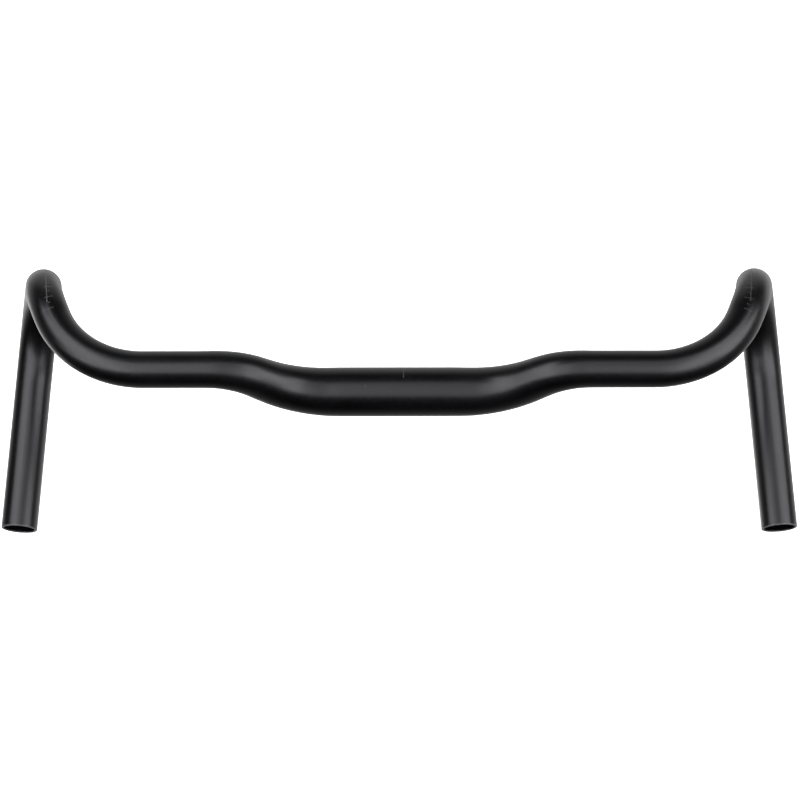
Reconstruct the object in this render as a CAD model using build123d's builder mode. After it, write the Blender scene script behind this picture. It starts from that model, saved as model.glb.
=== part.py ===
from build123d import *

import os
from math import cos, degrees, radians, sin, tan

# Drop handlebar with a raised outer part and flared drops: one bent, butted aluminium tube
# and the thin alignment scales printed on it.
#
# Frame: millimetres, +Z up, +Y towards the front wheel, X along the stem clamp's axis with
# +X on the rider's right.  The origin is the centre of the stem clamp.

# ---- tube sizes: a standard stem clamp and a standard brake lever clamp ----
CLAMP_DIAMETER = 31.8
GRIP_DIAMETER = 23.8
CENTRE_WALL = 2.6
GRIP_WALL = 1.6
MOUTH_ROUND = 0.4

# ---- corners of the right half's centreline, from the stem clamp to the open end ----
RISE = 30.0
CENTRE = (0.0, 0.0, 0.0)
RISER_FOOT = (65.5, 0.0, 0.0)
RISER_HEAD = (104.5, 0.0, RISE)
RAMP_CORNER = (207.5, 0.0, RISE)
HOOK_TOP = (230.5, 59.0, 25.0)
HOOK_FRONT = (239.5, 127.0, -54.5)
BAR_END = (252.5, -49.5, -99.0)

# ---- centreline radii of the bends at those corners ----
RISER_FOOT_RADIUS = 68.0
RISER_HEAD_RADIUS = 46.5
RAMP_RADIUS = 64.0
HOOK_TOP_RADIUS = 44.0
HOOK_FRONT_RADIUS = 53.0

# ---- printed scales: ink thickness, line widths and layout ----
INK = 0.06
LINE_WIDTH = 0.6
TICK_WIDTH = 0.5

# a lever scale: one line over the hook and ticks square to the tube
LINE_BACK = (225.4, 38.0)
LINE_TOE_OUT = 6.5
LINE_LENGTH = 54.0
LINE_BACK_HEIGHT = 24.0
LINE_FRONT_HEIGHT = 6.0
LINE_FRONT_RUN = 34.0
TICK_PITCH = 5.0
TICK_COUNT = 10
SHORT_TICK = 2.4
LONG_TICK = 4.2
LONG_TICK_OUTBOARD = 1.6
LEFT_FIRST_TICK = 247.2
RIGHT_FIRST_TICK = 245.6

# the clamp scale: angles are from straight up towards the front
CENTRE_LINE_X = 3.0
CENTRE_LINE_FROM = 7.0
CENTRE_LINE_TO = 75.0
RUNG_ANGLES = (32.0, 50.0, 68.0)
RUNG_WIDTH = 11.0
LIMIT_TICK_X = -21.5
LIMIT_TICK_ANGLE = -15.0
LIMIT_TICK_LENGTH = 2.0

CORNERS = [CENTRE, RISER_FOOT, RISER_HEAD, RAMP_CORNER, HOOK_TOP, HOOK_FRONT, BAR_END]
BEND_RADII = [
    RISER_FOOT_RADIUS,
    RISER_HEAD_RADIUS,
    RAMP_RADIUS,
    HOOK_TOP_RADIUS,
    HOOK_FRONT_RADIUS,
]

clamp_radius = CLAMP_DIAMETER / 2
grip_radius = GRIP_DIAMETER / 2


# ---- the right half's centreline ----
with BuildLine() as centreline:
    FilletPolyline(*CORNERS, radius=BEND_RADII)

path = centreline.wires()[0]

# in order from the clamp: straight, bend, straight, bend and so on to the open end
legs = path.edges().sort_by(path)
clamp_leg = legs[0]
riser_legs = legs[1:4]
grip_legs = legs[4:]
hook_legs = legs[5:10]


def square_to(edge, end):
    """The plane square to an edge at its start (0) or its end (1), facing along it."""
    return Plane(origin=edge @ end, z_dir=edge % end)


def right_half(centre_radius, end_radius):
    """Solid right half of the bar: the clamp, the narrowing riser, then one even tube."""
    with BuildPart() as half:
        with BuildSketch(square_to(clamp_leg, 0)):
            Circle(centre_radius)
        extrude(amount=clamp_leg.length)
        with BuildLine() as riser:
            add(riser_legs)
        with BuildSketch(square_to(riser_legs[0], 0)):
            Circle(centre_radius)
        with BuildSketch(square_to(riser_legs[-1], 1)):
            Circle(end_radius)
        sweep(path=riser.wires()[0], multisection=True)
        for leg in grip_legs:
            with BuildSketch(square_to(leg, 0)):
                Circle(end_radius)
            sweep(path=leg)
    return half.part


def at_a_mouth(edge):
    """True for the circles round the two open ends."""
    return abs(abs(edge.center().X) - BAR_END[0]) < 1.0


# ---- the tube: one piece, open at both ends ----
outside = right_half(clamp_radius, grip_radius)
bore = right_half(clamp_radius - CENTRE_WALL, grip_radius - GRIP_WALL)

with BuildPart() as handlebar_tube:
    add(outside)
    add(bore, mode=Mode.SUBTRACT)
    mirror(about=Plane.YZ)
    mouths = handlebar_tube.edges().filter_by(GeomType.CIRCLE).filter_by(at_a_mouth)
    fillet(mouths, radius=MOUTH_ROUND)
handlebar_tube.part.label = "handlebar_tube"


# ---- lever scales: a line over each hook, with ticks on its inboard side ----
def hook_skin():
    """A skin as thick as the ink, all round the right hook."""
    with BuildPart() as layer:
        for leg in hook_legs:
            with BuildSketch(square_to(leg, 0)):
                Circle(grip_radius + INK)
                Circle(grip_radius, mode=Mode.SUBTRACT)
            sweep(path=leg)
    return layer.part


def lever_stencil(first_tick):
    """Blocks through the right hook's outer side, wherever it carries ink."""
    toe_out = radians(LINE_TOE_OUT)
    beyond = RISE + CLAMP_DIAMETER
    tick_step = TICK_PITCH * HOOK_TOP_RADIUS / (HOOK_TOP_RADIUS + grip_radius)
    fore_aft = Plane(
        origin=(LINE_BACK[0], LINE_BACK[1], 0),
        x_dir=(sin(toe_out), cos(toe_out), 0),
        z_dir=(cos(toe_out), -sin(toe_out), 0),
    )
    with BuildPart() as stencil:
        with BuildSketch(fore_aft):
            with BuildLine():
                Polyline(
                    (0, LINE_BACK_HEIGHT),
                    (0, beyond),
                    (LINE_LENGTH, beyond),
                    (LINE_LENGTH, LINE_FRONT_HEIGHT),
                    (LINE_FRONT_RUN, LINE_FRONT_HEIGHT),
                    close=True,
                )
            make_face()
        extrude(amount=LINE_WIDTH / 2, both=True)
        for number in range(TICK_COUNT):
            along = first_tick + number * tick_step
            spot = path.position_at(along, position_mode=PositionMode.LENGTH)
            heading = path.tangent_at(along, position_mode=PositionMode.LENGTH)
            # local x runs inboard and local y points out of the bend
            across = Plane(origin=spot, x_dir=(-heading.Y, heading.X, 0), z_dir=heading)
            surface = across.from_local_coords((0, grip_radius, 0))
            line_x = LINE_BACK[0] + (surface.Y - LINE_BACK[1]) * tan(toe_out)
            inner_end = surface.X - line_x + (SHORT_TICK if number % 2 else LONG_TICK)
            outer_end = surface.X - line_x - (0 if number % 2 else LONG_TICK_OUTBOARD)
            with BuildSketch(across):
                with Locations(((inner_end + outer_end) / 2, 0)):
                    Rectangle(inner_end - outer_end, 2 * grip_radius, align=(Align.CENTER, Align.MIN))
            extrude(amount=TICK_WIDTH / 2, both=True)
    return stencil.part


skin = hook_skin()
right_stencil = lever_stencil(RIGHT_FIRST_TICK)
left_stencil = lever_stencil(LEFT_FIRST_TICK)

with BuildPart() as right_lever_scale:
    add(skin)
    add(right_stencil, mode=Mode.INTERSECT)
right_lever_scale.part.label = "right_lever_scale"

# the left one is made on the right hook too, and then mirrored across
with BuildPart() as left_lever_scale:
    add(skin)
    add(left_stencil, mode=Mode.INTERSECT)
    mirror(about=Plane.YZ, mode=Mode.REPLACE)
left_lever_scale.part.label = "left_lever_scale"


# ---- clamp scale: a line round the front of the clamp, its rungs and one limit tick ----
def on_clamp(angle, radius):
    """A point of the clamp's cross-section, at an angle from straight up to the front."""
    return (radius * sin(radians(angle)), radius * cos(radians(angle)))


def clamp_print(middle_x, width, from_angle, to_angle):
    """One patch of ink on the clamp, curved round it between two angles."""
    far = 2 * clamp_radius
    with BuildPart() as patch:
        with BuildSketch(Plane.YZ.offset(middle_x)):
            Circle(clamp_radius + INK)
            Circle(clamp_radius, mode=Mode.SUBTRACT)
            with BuildLine():
                Polyline(
                    (0, 0),
                    on_clamp(from_angle, far),
                    on_clamp((from_angle + to_angle) / 2, far),
                    on_clamp(to_angle, far),
                    close=True,
                )
            make_face(mode=Mode.INTERSECT)
        extrude(amount=width / 2, both=True)
    return patch.part


half_rung = degrees(TICK_WIDTH / 2 / clamp_radius)
half_limit = degrees(LIMIT_TICK_LENGTH / 2 / clamp_radius)
limit_from = LIMIT_TICK_ANGLE - half_limit
limit_to = LIMIT_TICK_ANGLE + half_limit

centre_line = clamp_print(CENTRE_LINE_X, LINE_WIDTH, CENTRE_LINE_FROM, CENTRE_LINE_TO)
rungs = [clamp_print(CENTRE_LINE_X, RUNG_WIDTH, a - half_rung, a + half_rung) for a in RUNG_ANGLES]
limit_tick = clamp_print(LIMIT_TICK_X, TICK_WIDTH, limit_from, limit_to)

with BuildPart() as clamp_scale:
    add(centre_line)
    add(rungs)
    add(limit_tick)
clamp_scale.part.label = "clamp_scale"


os.makedirs("parts", exist_ok=True)
export_step(handlebar_tube.part, "parts/handlebar_tube.step")
export_step(left_lever_scale.part, "parts/left_lever_scale.step")
export_step(right_lever_scale.part, "parts/right_lever_scale.step")
export_step(clamp_scale.part, "parts/clamp_scale.step")
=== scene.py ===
import math
from dataclasses import dataclass

import bmesh
import bpy
from mathutils import Matrix, Vector


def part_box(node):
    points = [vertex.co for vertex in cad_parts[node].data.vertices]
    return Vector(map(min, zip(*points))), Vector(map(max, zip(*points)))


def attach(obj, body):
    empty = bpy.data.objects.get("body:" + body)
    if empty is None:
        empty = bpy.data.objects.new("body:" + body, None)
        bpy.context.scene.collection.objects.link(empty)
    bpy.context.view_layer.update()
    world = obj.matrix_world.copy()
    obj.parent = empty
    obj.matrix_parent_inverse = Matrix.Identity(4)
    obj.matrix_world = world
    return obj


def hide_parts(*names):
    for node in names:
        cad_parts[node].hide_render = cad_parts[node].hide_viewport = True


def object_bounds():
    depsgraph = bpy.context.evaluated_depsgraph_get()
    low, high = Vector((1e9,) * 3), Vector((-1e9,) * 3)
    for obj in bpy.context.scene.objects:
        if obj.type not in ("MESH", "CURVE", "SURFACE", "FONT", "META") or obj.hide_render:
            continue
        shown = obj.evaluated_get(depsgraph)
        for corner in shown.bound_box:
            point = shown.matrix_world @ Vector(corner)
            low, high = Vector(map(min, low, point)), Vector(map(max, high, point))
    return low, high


# A drop handlebar: one bent and butted aluminium tube, bead-blasted and anodised black, with
# light grey scales printed on it.  Metres, in the CAD's frame: the origin is the centre of the
# stem clamp, +X is the rider's right, +Y the front and +Z up.

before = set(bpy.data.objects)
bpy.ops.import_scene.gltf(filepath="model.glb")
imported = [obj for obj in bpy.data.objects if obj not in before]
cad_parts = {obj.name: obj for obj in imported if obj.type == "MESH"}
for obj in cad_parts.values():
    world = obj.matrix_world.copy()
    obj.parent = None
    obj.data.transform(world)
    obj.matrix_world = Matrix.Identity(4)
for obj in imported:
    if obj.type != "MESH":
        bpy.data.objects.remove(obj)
cad_box = [list(corner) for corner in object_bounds()]

MM = 0.001

# ---- the bar, as it was designed ----
CLAMP_RADIUS = 15.9 * MM
GRIP_RADIUS = 11.9 * MM
CENTRE_WALL = 2.6 * MM
GRIP_WALL = 1.6 * MM
MOUTH_ROUND = 0.4 * MM
# corners of the right half's centreline, from the stem clamp to the open end
CORNERS = [
    Vector((0.0, 0.0, 0.0)) * MM,
    Vector((65.5, 0.0, 0.0)) * MM,
    Vector((104.5, 0.0, 30.0)) * MM,
    Vector((207.5, 0.0, 30.0)) * MM,
    Vector((230.5, 59.0, 25.0)) * MM,
    Vector((239.5, 127.0, -54.5)) * MM,
    Vector((252.5, -49.5, -99.0)) * MM,
]
BEND_RADII = [68 * MM, 46.5 * MM, 64 * MM, 44 * MM, 53 * MM]
HOOK_TOP_RADIUS = BEND_RADII[3]

# ---- the printed scales ----
INK = 0.04 * MM
LINE_WIDTH = 0.6 * MM
TICK_WIDTH = 0.35 * MM
INK_STEP = 0.35 * MM
LINE_BACK = Vector((225.4, 38.0, 0.0)) * MM
LINE_TOE_OUT = math.radians(6.5)
TICK_PITCH = 5 * MM
TICK_COUNT = 10
SHORT_TICK = 2.4 * MM
LONG_TICK = 4.2 * MM
LONG_TICK_OUTBOARD = 1.6 * MM
LEFT_FIRST_TICK = 247.2 * MM
RIGHT_FIRST_TICK = 245.6 * MM
CENTRE_LINE_X = 3 * MM
CENTRE_LINE_FROM = math.radians(7)
CENTRE_LINE_TO = math.radians(75)
RUNG_ANGLES = [math.radians(a) for a in (32, 50, 68)]
RUNG_WIDTH = 11 * MM
LIMIT_TICK_X = -21.5 * MM
LIMIT_TICK_ANGLE = math.radians(-15)
LIMIT_TICK_LENGTH = 2 * MM

# ---- what forming the tube does to it ----
FLATTENING = 0.016
WIDENING = 0.008
TAPER_EASE = 7 * MM

# ---- how finely the tube is divided ----
AROUND = 72
RUN_STEP = 5 * MM
BEND_STEP = math.radians(1.6)
ROUND_STEPS = 4

# ---- colours and finish, in linear light ----
BLACK = (0.0009, 0.0009, 0.0011, 1)
BLACK_FADED = (0.0019, 0.0019, 0.0022, 1)
RUBBED = (0.006, 0.006, 0.0063, 1)
CUT_EDGE = (0.14, 0.14, 0.144, 1)
INK_GREY = (0.09, 0.09, 0.093, 1)
WORN_INK_GREY = (0.05, 0.05, 0.052, 1)
ROUGHNESS = 0.32
POLISH = 0.1

# ---- the camera ----
CAMERA_AIM = Vector((0.72, -4.7, -2.5)) * MM
CAMERA_DISTANCE = 2.292
CAMERA_ELEVATION = math.radians(61.5)
CAMERA_AZIMUTH = math.radians(0.154)
CAMERA_ROLL = math.radians(-0.211)
CAMERA_LENS = 159.55
SENSOR_WIDTH = 36
CLIP_END = 100

# ---- the studio ----
LIGHT_TINT = (0.985, 0.975, 1.03)
FLOOR_GREY = (0.8, 0.8, 0.8, 1)
FLOOR_SIZE = 60.0
FLOOR_GAP = 0.5 * MM
FLOOR_GLOW = 0.95
HORIZON_GLOW = 0.97
SOFTBOX_DISTANCE = 1.0
SOFTBOXES = [
    # name, degrees sideways, degrees forward, width, length, radiance
    ("left_inner", -36, -8, 0.3, 1.55, 3.7),
    ("left_outer", -56, -8, 0.4, 1.05, 3.1),
    ("left_rear", -56, -55, 0.7, 0.2, 1.9),
    ("left_shoulder", -17, -19, 0.35, 1.05, 2.3),
    ("centre_rear", 0, -30, 0.3, 0.8, 1.1),
    ("centre_front", 12, 5, 0.65, 0.45, 1.15),
    ("right_shoulder", 21, -30, 0.45, 0.7, 1.8),
    ("right_inner", 42, -12, 0.45, 1.25, 3.2),
    ("right_outer", 66, -10, 0.45, 0.65, 3.5),
    ("right_rear", 46, -58, 0.8, 0.3, 1.2),
]
SURROUNDINGS = [
    # name, degrees sideways, degrees forward, degrees to its edge, radiance in its middle
    ("front", 0, 100, 45, 0.6),
    ("below_left", -40, 145, 45, 0.55),
    ("below_left_patch", -30, 160, 25, 0.8),
    ("below", 0, 155, 50, 0.45),
    ("below_right", 40, 140, 45, 0.5),
    ("below_right_patch", 45, 135, 25, 0.55),
    ("below_rear", 0, -160, 45, 0.2),
    ("right", 80, -90, 50, 0.15),
]


# ------------------------------------------------------------------ the centreline
@dataclass
class Leg:
    """One straight run or one bend of the right half's centreline."""

    start: float
    length: float
    at: Vector
    heading: Vector
    side: Vector
    radius: float = 0.0
    axis: Vector = None


@dataclass
class Station:
    """A point of the centreline and the directions that a cross-section there needs."""

    at: Vector
    heading: Vector
    side: Vector
    outward: Vector
    bend: float

    def up(self):
        return self.heading.cross(self.side)

    def point(self, angle, radius):
        """A point round the tube, allowing for how bending flattens and widens it."""
        arm = (self.side * math.cos(angle) + self.up() * math.sin(angle)) * radius
        flatter = self.outward * arm.dot(self.outward) * FLATTENING * self.bend
        across = self.heading.cross(self.outward)
        wider = across * arm.dot(across) * WIDENING * self.bend
        return self.at + arm - flatter + wider


def make_legs():
    """The right half's centreline, from the middle of the clamp to the open end."""
    made = []
    here, side, along = CORNERS[0], Vector((0, 1, 0)), 0.0
    heading = (CORNERS[1] - CORNERS[0]).normalized()
    for corner, after, radius in zip(CORNERS[1:], CORNERS[2:] + [None], BEND_RADII + [0.0]):
        onward = (after - corner).normalized() if after else heading
        turn = heading.angle(onward) if after else 0.0
        tangent = radius * math.tan(turn / 2)
        run = (corner - here).length - tangent
        made.append(Leg(along, run, here, heading, side))
        along += run
        if after is None:
            return made
        axis = heading.cross(onward).normalized()
        made.append(Leg(along, radius * turn, here + heading * run, heading, side, radius, axis))
        along += radius * turn
        here = corner + onward * tangent
        side = Matrix.Rotation(turn, 3, axis) @ side
        heading = onward


legs = make_legs()
bar_end = legs[-1].start + legs[-1].length
taper_from = legs[0].length
taper_to = legs[3].start + legs[3].length


def station(along):
    """The station at a distance along the right half's centreline."""
    leg = next((g for g in legs if along <= g.start + g.length), legs[-1])
    gone = along - leg.start
    if leg.axis is None:
        return Station(leg.at + leg.heading * gone, leg.heading, leg.side, Vector(), 0.0)
    spin = Matrix.Rotation(gone / leg.radius, 3, leg.axis)
    inward = leg.axis.cross(leg.heading)
    centre = leg.at + inward * leg.radius
    outward = spin @ -inward
    share = gone / leg.length
    at = centre + outward * leg.radius
    return Station(at, spin @ leg.heading, spin @ leg.side, outward, 4 * share * (1 - share))


def distances():
    """Where the right half's rings are: evenly along the runs, and by angle round the bends."""
    found = [0.0]
    for leg in legs:
        step = RUN_STEP if leg.axis is None else BEND_STEP * leg.radius
        count = max(1, math.ceil(leg.length / step))
        found += [leg.start + leg.length * (i + 1) / count for i in range(count)]
    return found


def taper(along):
    """How far the tube has narrowed: 0 at the clamp, 1 from the tops outwards."""
    eased = 0.0
    for shift in (-1.0, -0.5, 0.0, 0.5, 1.0):
        share = (along + shift * TAPER_EASE - taper_from) / (taper_to - taper_from)
        eased += min(1.0, max(0.0, share)) / 5
    return eased


def outer_radius(along):
    return CLAMP_RADIUS + (GRIP_RADIUS - CLAMP_RADIUS) * taper(along)


def inner_radius(along):
    wall = CENTRE_WALL + (GRIP_WALL - CENTRE_WALL) * taper(along)
    return outer_radius(along) - wall


# ------------------------------------------------------------------ the tube
def mirrored(point):
    return Vector((-point.x, point.y, point.z))


def finished(body, name, material, replaced):
    """A smooth-shaded piece made from a bmesh. It rides on the bar's one body."""
    mesh = bpy.data.meshes.new(name)
    body.to_mesh(mesh)
    body.free()
    mesh.shade_smooth()
    mesh.materials.append(material)
    piece = bpy.data.objects.new(name, mesh)
    bpy.context.scene.collection.objects.link(piece)
    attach(piece, "root")
    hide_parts(replaced)
    return piece


def tube_rings():
    """(distance, radius, in the mouth's rim, in the bore) of the right half's rings, in order."""
    smooth = [d for d in distances() if d < bar_end - 3 * MOUTH_ROUND] + [bar_end - 2 * MOUTH_ROUND]
    outer, inner = outer_radius(bar_end), inner_radius(bar_end)
    outer_rim, inner_rim = [], []
    for i in range(ROUND_STEPS + 1):
        angle = math.pi / 2 * i / ROUND_STEPS
        at = bar_end - MOUTH_ROUND * (1 - math.sin(angle))
        cut = MOUTH_ROUND * (1 - math.cos(angle))
        outer_rim.append((at, outer - cut, 1.0, 0.0))
        inner_rim.append((at, inner + cut, 1.0, 1.0))
    outside = [(d, outer_radius(d), 0.0, 0.0) for d in smooth]
    inside = [(d, inner_radius(d), 0.0, 1.0) for d in smooth]
    return outside + outer_rim + inner_rim[::-1] + inside[::-1]


def make_tube():
    """The whole tube as one closed skin: the outside, both mouths and the bore."""
    body = bmesh.new()
    unbent = body.verts.layers.float_vector.new("unbent")
    in_rim = body.verts.layers.float.new("rim")
    in_bore = body.verts.layers.float.new("bore")

    def add_ring(distance, radius, rim, bore, side):
        here = station(distance)
        verts = []
        for k in range(AROUND):
            angle = 2 * math.pi * k / AROUND
            point = here.point(angle, radius)
            vert = body.verts.new(point if side > 0 else mirrored(point))
            vert[unbent] = (side * distance, radius * math.cos(angle), radius * math.sin(angle))
            vert[in_rim] = rim
            vert[in_bore] = bore
            verts.append(vert)
        return verts

    right = tube_rings()
    rings = [add_ring(*ring, 1) for ring in right]
    rings += [add_ring(*ring, -1) for ring in reversed(right[1:-1])]
    for ring, after in zip(rings, rings[1:] + rings[:1]):
        for k in range(AROUND):
            onward = (k + 1) % AROUND
            body.faces.new((ring[k], after[k], after[onward], ring[onward]))
    bmesh.ops.recalc_face_normals(body, faces=body.faces)
    return finished(body, "tube", black_anodised(), "handlebar_tube")


# ------------------------------------------------------------------ the printed scales
def add_ink(body, grid):
    """A closed film of ink over a grid of (point on the tube, outward normal)."""
    rows, columns = len(grid), len(grid[0])
    top = [[body.verts.new(p + n * INK) for p, n in row] for row in grid]
    under = [[body.verts.new(p - n * INK) for p, n in row] for row in grid]
    for i in range(rows - 1):
        for j in range(columns - 1):
            body.faces.new((top[i][j], top[i][j + 1], top[i + 1][j + 1], top[i + 1][j]))
            body.faces.new((under[i][j], under[i + 1][j], under[i + 1][j + 1], under[i][j + 1]))
    edge = [(0, j) for j in range(columns)] + [(i, columns - 1) for i in range(1, rows)]
    edge += [(rows - 1, j) for j in range(columns - 2, -1, -1)] + [(i, 0) for i in range(rows - 2, 0, -1)]
    for (i, j), (k, m) in zip(edge, edge[1:] + edge[:1]):
        body.faces.new((top[i][j], under[i][j], under[k][m], top[k][m]))


def on_top(here, inboard):
    """The surface point and normal on the hook's upper side, this far inboard of its crown."""
    across = Vector((-here.heading.y, here.heading.x, 0)).normalized()
    crown = here.heading.cross(across)
    turn = math.asin(inboard / GRIP_RADIUS)
    normal = across * math.sin(turn) + crown * math.cos(turn)
    angle = math.atan2(normal.dot(here.up()), normal.dot(here.side))
    return here.point(angle, GRIP_RADIUS), normal


def line_offset(here):
    """How far inboard of the crown the long line is: it lies in one upright plane."""
    square = Vector((math.cos(LINE_TOE_OUT), -math.sin(LINE_TOE_OUT), 0))
    inboard = 0.0
    for _ in range(4):
        point, _normal = on_top(here, inboard)
        inboard += (point - LINE_BACK).dot(square)
    return inboard


def line_distances():
    """Distances along the centreline between which the long line is printed, closely spaced."""
    low, _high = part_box("right_lever_scale")
    found = []
    for i in range(round(bar_end / INK_STEP)):
        here = station(i * INK_STEP)
        crown, normal = on_top(here, 0.0)
        if crown.x > LINE_BACK.x and normal.z > 0 and crown.y > low.y and crown.z > low.z:
            found.append(i * INK_STEP)
    return found[::2]


def make_lever_scale(node, side, first_tick, material):
    """One line over the hook and ticks on its inboard side, as thin films of ink."""
    body = bmesh.new()

    def strip(distances_along, offsets):
        """Ink between two inboard offsets, each a function of the station."""
        grid = []
        for d in distances_along:
            here = station(d)
            low, high = offsets(here)
            steps = max(2, math.ceil((high - low) / INK_STEP) + 1)
            spots = [on_top(here, low + (high - low) * i / (steps - 1)) for i in range(steps)]
            grid.append(spots if side > 0 else [(mirrored(p), mirrored(n)) for p, n in spots])
        add_ink(body, grid)

    half = LINE_WIDTH / 2
    strip(line_distances(), lambda here: (line_offset(here) - half, line_offset(here) + half))
    # distances are along the centreline, and the outside of the bend is longer
    shrink = HOOK_TOP_RADIUS / (HOOK_TOP_RADIUS + GRIP_RADIUS)
    for number in range(TICK_COUNT):
        is_long = number % 2 == 0
        middle = first_tick + number * TICK_PITCH * shrink
        ends = [middle + share * TICK_WIDTH * shrink for share in (-0.5, 0.5)]
        reach = LONG_TICK if is_long else SHORT_TICK
        strip(ends, lambda here: (line_offset(here) + half, line_offset(here) + reach))
        if is_long:
            strip(ends, lambda here: (line_offset(here) - LONG_TICK_OUTBOARD, line_offset(here) - half))
    bmesh.ops.recalc_face_normals(body, faces=body.faces)
    return finished(body, f"{node}_print", material, node)


def make_clamp_scale(material):
    """The clamp's centre line round its front, the rungs across it and one limit tick."""
    body = bmesh.new()

    def patch(from_x, to_x, from_angle, to_angle):
        rows = max(2, math.ceil(math.degrees(to_angle - from_angle) / 3) + 1)
        grid = []
        for i in range(rows):
            angle = from_angle + (to_angle - from_angle) * i / (rows - 1)
            normal = Vector((0, math.sin(angle), math.cos(angle)))
            grid.append([(normal * CLAMP_RADIUS + Vector((x, 0, 0)), normal) for x in (from_x, to_x)])
        add_ink(body, grid)

    half = LINE_WIDTH / 2
    patch(CENTRE_LINE_X - half, CENTRE_LINE_X + half, CENTRE_LINE_FROM, CENTRE_LINE_TO)
    half_tick = TICK_WIDTH / 2 / CLAMP_RADIUS
    for rung in RUNG_ANGLES:
        for direction in (-1, 1):
            ends = (CENTRE_LINE_X + direction * half, CENTRE_LINE_X + direction * RUNG_WIDTH / 2)
            patch(min(ends), max(ends), rung - half_tick, rung + half_tick)
    half_limit = LIMIT_TICK_LENGTH / 2 / CLAMP_RADIUS
    patch(
        LIMIT_TICK_X - TICK_WIDTH / 2,
        LIMIT_TICK_X + TICK_WIDTH / 2,
        LIMIT_TICK_ANGLE - half_limit,
        LIMIT_TICK_ANGLE + half_limit,
    )
    bmesh.ops.recalc_face_normals(body, faces=body.faces)
    return finished(body, "clamp_scale_print", material, "clamp_scale")


# ------------------------------------------------------------------ materials
class Graph:
    """A material's nodes, with one short call for each kind that the materials here need."""

    def __init__(self, name):
        self.material = bpy.data.materials.new(name)
        self.material.use_nodes = True
        self.tree = self.material.node_tree
        self.shader = self.tree.nodes["Principled BSDF"]

    def node(self, kind, inputs=(), **settings):
        made = self.tree.nodes.new(kind)
        for key, value in settings.items():
            setattr(made, key, value)
        for key, value in dict(inputs).items():
            if isinstance(value, bpy.types.NodeSocket):
                self.tree.links.new(value, made.inputs[key])
            else:
                made.inputs[key].default_value = value
        return made

    def attribute(self, name, output="Fac"):
        return self.node("ShaderNodeAttribute", attribute_name=name).outputs[output]

    def noise(self, where, per_metre, detail=2.0, roughness=0.5):
        inputs = {"Vector": where, "Scale": per_metre, "Detail": detail, "Roughness": roughness}
        return self.node("ShaderNodeTexNoise", inputs).outputs["Fac"]

    def stretched(self, where, scale):
        inputs = {"Vector": where, "Scale": scale}
        return self.node("ShaderNodeMapping", inputs).outputs["Vector"]

    def spread(self, value, low, high, to_low, to_high):
        inputs = {"Value": value, "From Min": low, "From Max": high, "To Min": to_low, "To Max": to_high}
        return self.node("ShaderNodeMapRange", inputs, interpolation_type="SMOOTHSTEP").outputs["Result"]

    def maths(self, operation, first, second):
        return self.node("ShaderNodeMath", {0: first, 1: second}, operation=operation).outputs[0]

    def mixed(self, share, first, second):
        made = self.tree.nodes.new("ShaderNodeMix")
        made.data_type = "RGBA"
        for key, value in zip((0, 6, 7), (share, first, second)):
            if isinstance(value, bpy.types.NodeSocket):
                self.tree.links.new(value, made.inputs[key])
            else:
                made.inputs[key].default_value = value
        return made.outputs[2]

    def bump(self, height, metres, strength, under=None):
        inputs = {"Height": height, "Distance": metres, "Strength": strength}
        if under:
            inputs["Normal"] = under
        return self.node("ShaderNodeBump", inputs).outputs["Normal"]

    def feed(self, name, value):
        if isinstance(value, bpy.types.NodeSocket):
            self.tree.links.new(value, self.shader.inputs[name])
        else:
            self.shader.inputs[name].default_value = value


def black_anodised():
    """Bead-blasted aluminium, anodised and dyed black: a fine dimpled satin, never quite even."""
    graph = Graph("black_anodised")
    where = graph.attribute("unbent", "Vector")
    bore = graph.attribute("bore")
    rim = graph.attribute("rim")
    clouds = graph.noise(where, 22, 4.0, 0.55)
    mottle = graph.noise(where, 420, 3.0, 0.6)
    dimples = graph.noise(where, 3800, 1.0)
    drawn = graph.noise(graph.stretched(where, (9, 900, 900)), 1, 3.0)
    scuffs = graph.noise(graph.stretched(where, (60, 240, 240)), 1, 6.0, 0.72)

    dye = graph.mixed(graph.spread(clouds, 0.3, 0.7, 0, 1), BLACK, BLACK_FADED)
    rubbed = graph.maths("MULTIPLY", graph.spread(scuffs, 0.66, 0.8, 0, 0.35), graph.spread(bore, 0, 1, 1, 0))
    bared = graph.maths("MULTIPLY", rim, graph.spread(mottle, 0.35, 0.75, 0.45, 0.9))
    graph.feed("Base Color", graph.mixed(bared, graph.mixed(rubbed, dye, RUBBED), CUT_EDGE))

    satin = graph.spread(mottle, 0.25, 0.75, ROUGHNESS - 0.03, ROUGHNESS + 0.03)
    satin = graph.maths("ADD", satin, graph.spread(clouds, 0.3, 0.7, -0.015, 0.015))
    # rubbing polishes the blasted surface, and the drawn bore was never blasted
    satin = graph.maths("SUBTRACT", satin, graph.maths("MULTIPLY", rubbed, POLISH))
    graph.feed("Roughness", graph.maths("SUBTRACT", satin, graph.maths("MULTIPLY", bore, POLISH)))
    graph.feed("IOR", 1.5)

    fine = graph.bump(dimples, 0.012 * MM, 0.5)
    waves = graph.bump(mottle, 0.02 * MM, 0.35, fine)
    lines = graph.bump(graph.maths("MULTIPLY", drawn, bore), 0.02 * MM, 0.4, waves)
    graph.feed("Normal", lines)
    return graph.material


def grey_ink(name, grey):
    """Pad-printed light grey ink, a little thin and broken over the blasted surface."""
    graph = Graph(name)
    where = graph.node("ShaderNodeTexCoord").outputs["Object"]
    thin = graph.noise(where, 2600, 3.0, 0.7)
    patchy = graph.noise(where, 160, 2.0)
    speckle = graph.spread(thin, 0.3, 0.6, 0.5, 1)
    cover = graph.maths("MULTIPLY", speckle, graph.spread(patchy, 0.3, 0.7, 0.8, 1))
    graph.feed("Base Color", graph.mixed(cover, BLACK_FADED, grey))
    graph.feed("Roughness", graph.spread(thin, 0.3, 0.7, 0.5, 0.4))
    graph.feed("Normal", graph.bump(thin, 0.01 * MM, 0.5))
    return graph.material


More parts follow.
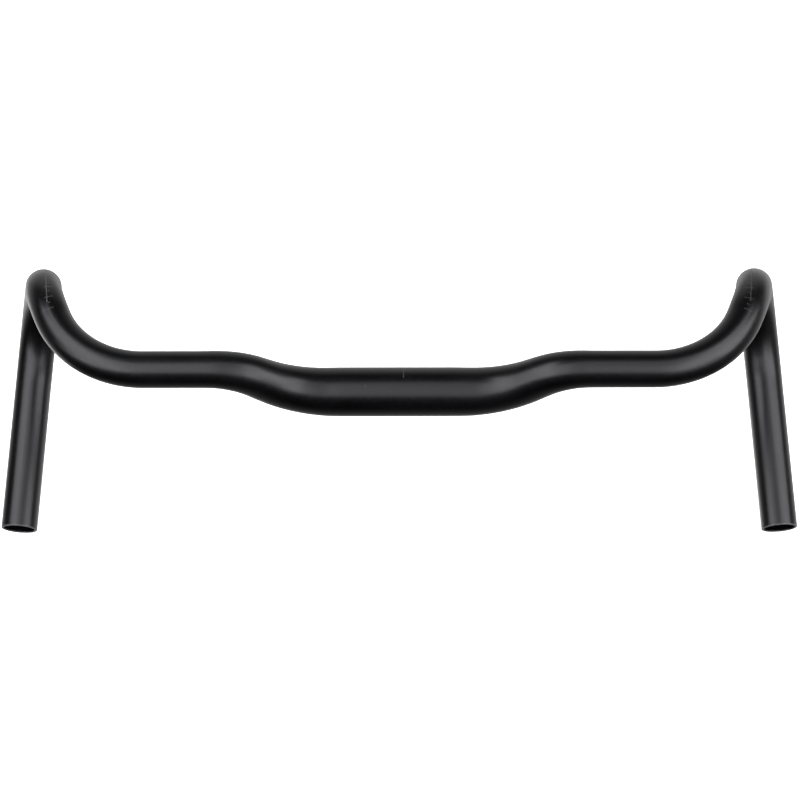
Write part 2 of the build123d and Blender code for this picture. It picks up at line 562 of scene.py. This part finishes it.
# ------------------------------------------------------------------ the pieces
make_tube()
ink = grey_ink("grey_ink", INK_GREY)
worn_ink = grey_ink("worn_grey_ink", WORN_INK_GREY)
make_lever_scale("right_lever_scale", 1, RIGHT_FIRST_TICK, worn_ink)
make_lever_scale("left_lever_scale", -1, LEFT_FIRST_TICK, ink)
make_clamp_scale(worn_ink)

# ------------------------------------------------------------------ the camera
camera_data = bpy.data.cameras.new("camera")
camera_data.lens = CAMERA_LENS
camera_data.sensor_width = SENSOR_WIDTH
camera_data.clip_end = CLIP_END
camera = bpy.data.objects.new("camera", camera_data)
bpy.context.scene.collection.objects.link(camera)
tilt = Matrix.Rotation(math.pi / 2 - CAMERA_ELEVATION, 3, "X")
turned = Matrix.Rotation(CAMERA_AZIMUTH, 3, "Z") @ tilt @ Matrix.Rotation(CAMERA_ROLL, 3, "Z")
camera_at = CAMERA_AIM + turned @ Vector((0, 0, CAMERA_DISTANCE))
camera.matrix_world = Matrix.LocRotScale(camera_at, turned, None)
bpy.context.scene.camera = camera


# ------------------------------------------------------------------ the studio
def make_floor():
    """A wide pale floor under the drops' ends, lit a little from below like a light table."""
    half = FLOOR_SIZE / 2
    corners = [(-half, -half), (half, -half), (half, half), (-half, half)]
    mesh = bpy.data.meshes.new("floor")
    level = cad_box[0][2] - FLOOR_GAP
    mesh.from_pydata([(x, y, level) for x, y in corners], [], [(0, 1, 2, 3)])
    graph = Graph("pale_floor")
    graph.feed("Base Color", FLOOR_GREY)
    graph.feed("Roughness", 0.9)
    graph.feed("Emission Color", (1, 1, 1, 1))
    graph.feed("Emission Strength", FLOOR_GLOW)
    mesh.materials.append(graph.material)
    floor = bpy.data.objects.new("floor", mesh)
    bpy.context.scene.collection.objects.link(floor)
    # the floor shows only to the camera, so the bar's light comes from the studio alone
    floor.visible_glossy = False
    floor.visible_diffuse = False
    floor.visible_shadow = False


def tipped(sideways, forward):
    """The turn that tips straight up by some degrees sideways and then forward."""
    return Matrix.Rotation(math.radians(-forward), 3, "X") @ Matrix.Rotation(math.radians(sideways), 3, "Y")


def make_softbox(name, sideways, forward, width, length, radiance):
    """A soft rectangular light that faces the bar from where straight up is tipped to."""
    light = bpy.data.lights.new(name, "AREA")
    light.shape = "RECTANGLE"
    light.size = width
    light.size_y = length
    light.energy = radiance * math.pi * width * length
    light.color = LIGHT_TINT
    box = bpy.data.objects.new(name, light)
    turn = tipped(sideways, forward)
    box.matrix_world = Matrix.LocRotScale(turn @ Vector((0, 0, SOFTBOX_DISTANCE)), turn, None)
    bpy.context.scene.collection.objects.link(box)


def make_world():
    """Dim surroundings with soft glows, for the bar. The camera itself sees an even pale world."""
    world = bpy.data.worlds.new("studio")
    bpy.context.scene.world = world
    world.use_nodes = True
    nodes, links = world.node_tree.nodes, world.node_tree.links
    background = nodes["Background"]
    background.inputs["Color"].default_value = (1, 1, 1, 1)
    output = nodes["World Output"]
    where = nodes.new("ShaderNodeTexCoord").outputs["Generated"]

    def glow(sideways, forward, edge, radiance):
        """A soft round glow: full in its middle and nothing from its edge outwards."""
        dot = nodes.new("ShaderNodeVectorMath")
        dot.operation = "DOT_PRODUCT"
        links.new(where, dot.inputs[0])
        dot.inputs[1].default_value = tipped(sideways, forward) @ Vector((0, 0, 1))
        fade = nodes.new("ShaderNodeMapRange")
        fade.interpolation_type = "SMOOTHSTEP"
        links.new(dot.outputs["Value"], fade.inputs["Value"])
        fade.inputs["From Min"].default_value = math.cos(math.radians(edge))
        fade.inputs["From Max"].default_value = 1
        fade.inputs["To Max"].default_value = radiance
        return fade.outputs["Result"]

    total = None
    for _name, *placing in SURROUNDINGS:
        part = glow(*placing)
        if total is None:
            total = part
            continue
        plus = nodes.new("ShaderNodeMath")
        links.new(total, plus.inputs[0])
        links.new(part, plus.inputs[1])
        total = plus.outputs[0]
    links.new(total, background.inputs["Strength"])
    pale = nodes.new("ShaderNodeBackground")
    pale.inputs["Color"].default_value = (1, 1, 1, 1)
    pale.inputs["Strength"].default_value = HORIZON_GLOW
    seen = nodes.new("ShaderNodeLightPath")
    choice = nodes.new("ShaderNodeMixShader")
    links.new(seen.outputs["Is Camera Ray"], choice.inputs["Fac"])
    links.new(background.outputs["Background"], choice.inputs[1])
    links.new(pale.outputs["Background"], choice.inputs[2])
    links.new(choice.outputs["Shader"], output.inputs["Surface"])


make_floor()
for softbox in SOFTBOXES:
    make_softbox(*softbox)
make_world()
bpy.context.scene.view_settings.view_transform = "Standard"
